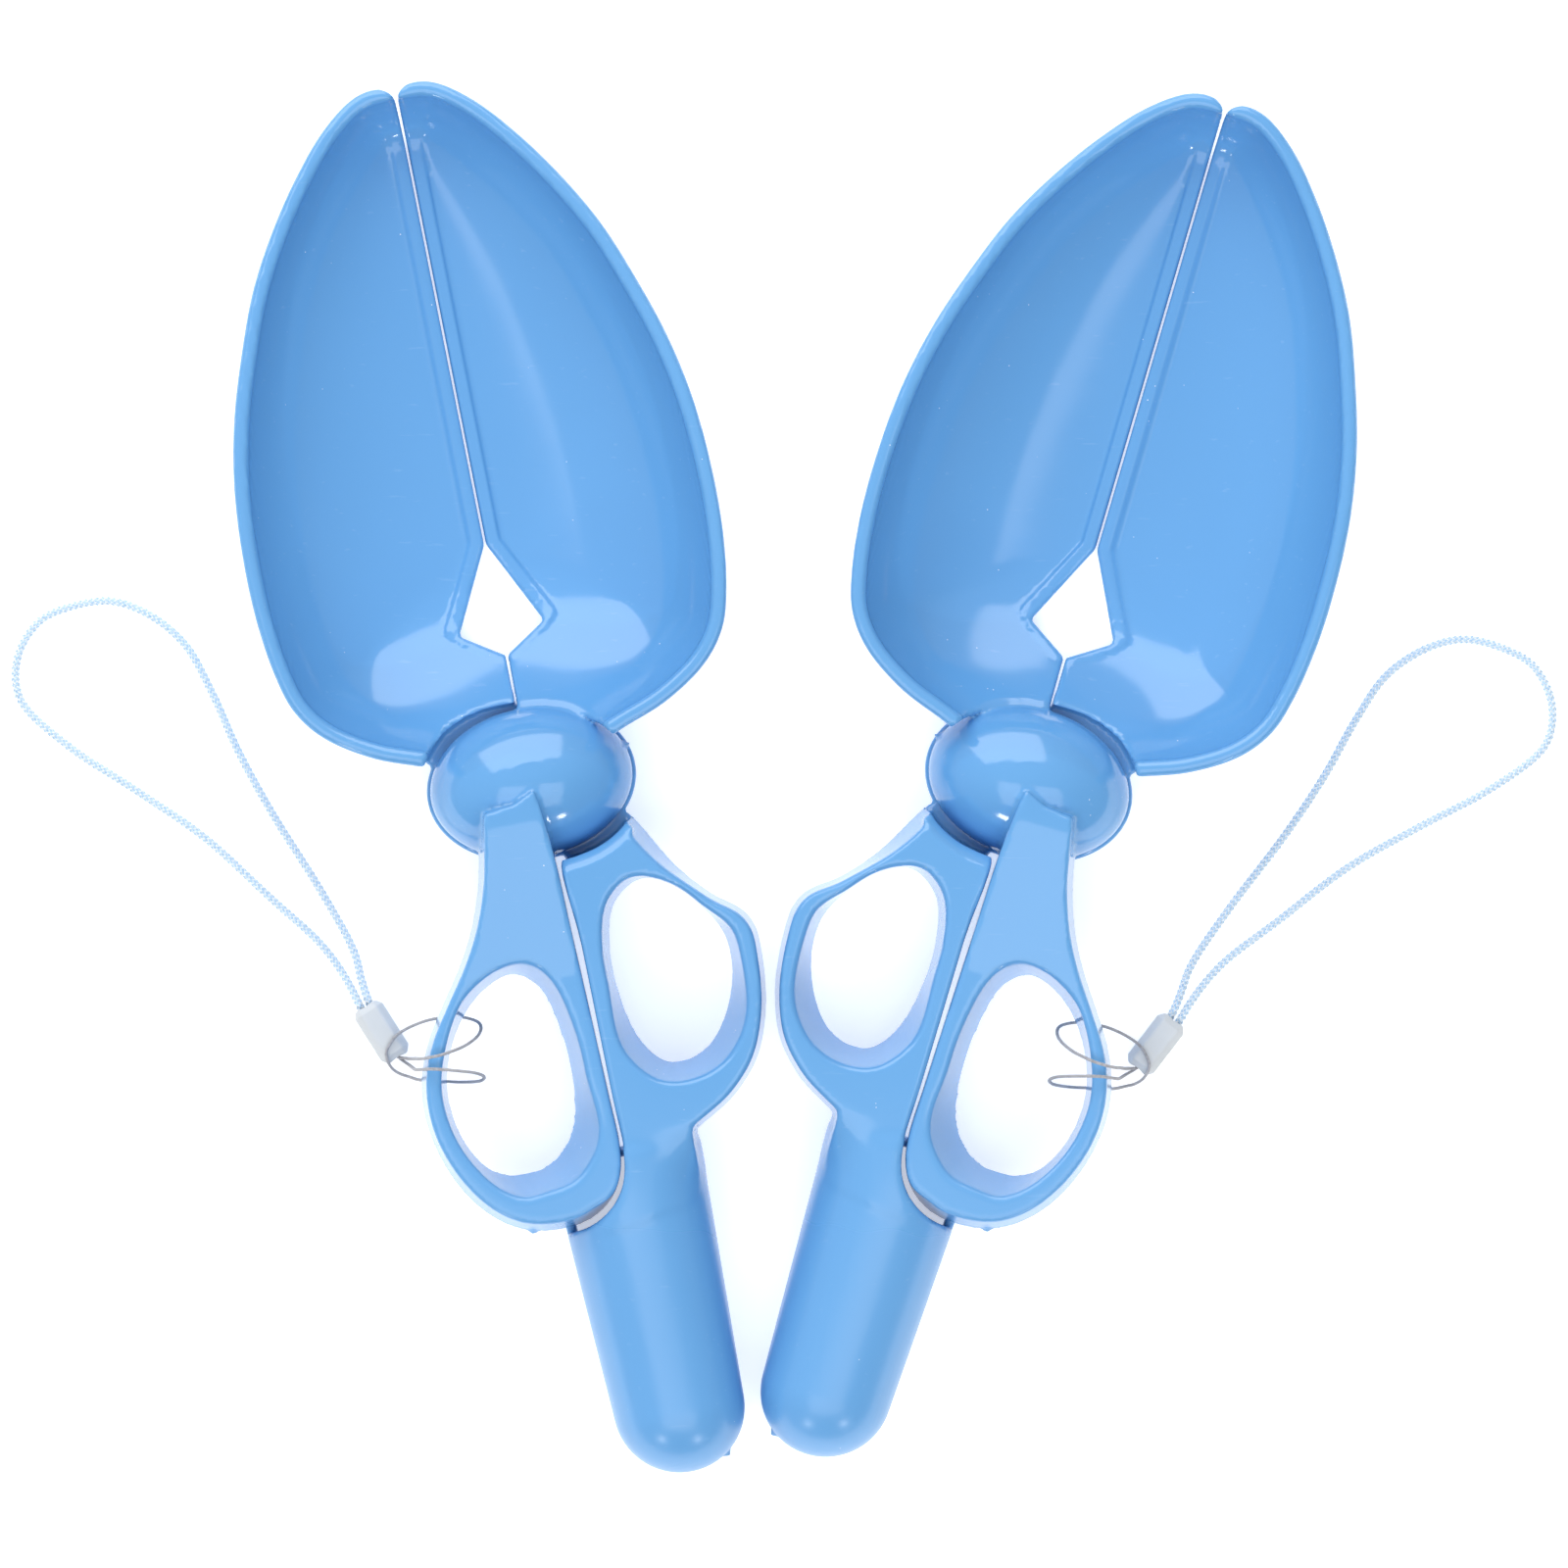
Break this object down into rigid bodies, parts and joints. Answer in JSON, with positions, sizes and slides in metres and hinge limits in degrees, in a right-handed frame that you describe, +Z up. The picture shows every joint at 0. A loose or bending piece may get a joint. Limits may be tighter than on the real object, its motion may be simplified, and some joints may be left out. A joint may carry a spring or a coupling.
{
  "type": "leaf grabber hands",
  "caption": "Pair of scissor-action plastic scoops with finger rings, hollow grips and wrist lanyards, for picking up leaves and litter.",
  "frame": {"origin": "middle of the two grabbers' box without their lanyards, at the surface they lie on", "axes": "+X to the right across the pair, +Y along the grabbers towards the scoop tips, +Z up out of the open scoops"},
  "size_m": [0.364, 0.3258, 0.0372],
  "materials": {
    "blue_plastic": "glossy light blue polypropylene",
    "pivot_steel": "plated steel",
    "ferrule_plastic": "satin light grey plastic",
    "strap_braid": "pale blue and white braided strap",
    "thin_cord": "grey twisted thread"
  },
  "bodies": {
    "left_lower": {"left_lower_lever": "blue_plastic", "left_pivot_washer": "pivot_steel"},
    "left_upper": {"left_upper_lever": "blue_plastic", "left_pivot_screw": "pivot_steel", "left_strap_ferrule": "ferrule_plastic", "left_wrist_strap": "strap_braid", "left_hitch_cord": "thin_cord"},
    "right_lower": {"right_lower_lever": "blue_plastic", "right_pivot_washer": "pivot_steel"},
    "right_upper": {"right_upper_lever": "blue_plastic", "right_pivot_screw": "pivot_steel", "right_strap_ferrule": "ferrule_plastic", "right_wrist_strap": "strap_braid", "right_hitch_cord": "thin_cord"}
  },
  "joints": [
    {"name": "left_pivot", "type": "hinge", "parent": "left_lower", "child": "left_upper", "pos_m": [-0.06195, -0.0009, 0.02], "axis": [0, 0, -1], "range_deg": [0, 15]},
    {"name": "right_lift", "type": "slide", "parent": "left_lower", "child": "right_lower", "axis": [0, 0, 1], "range_m": [0, 0.08]},
    {"name": "right_pivot", "type": "hinge", "parent": "right_lower", "child": "right_upper", "pos_m": [0.05485, -0.0009, 0.02], "axis": [0, 0, 1], "range_deg": [0, 15]}
  ]
}
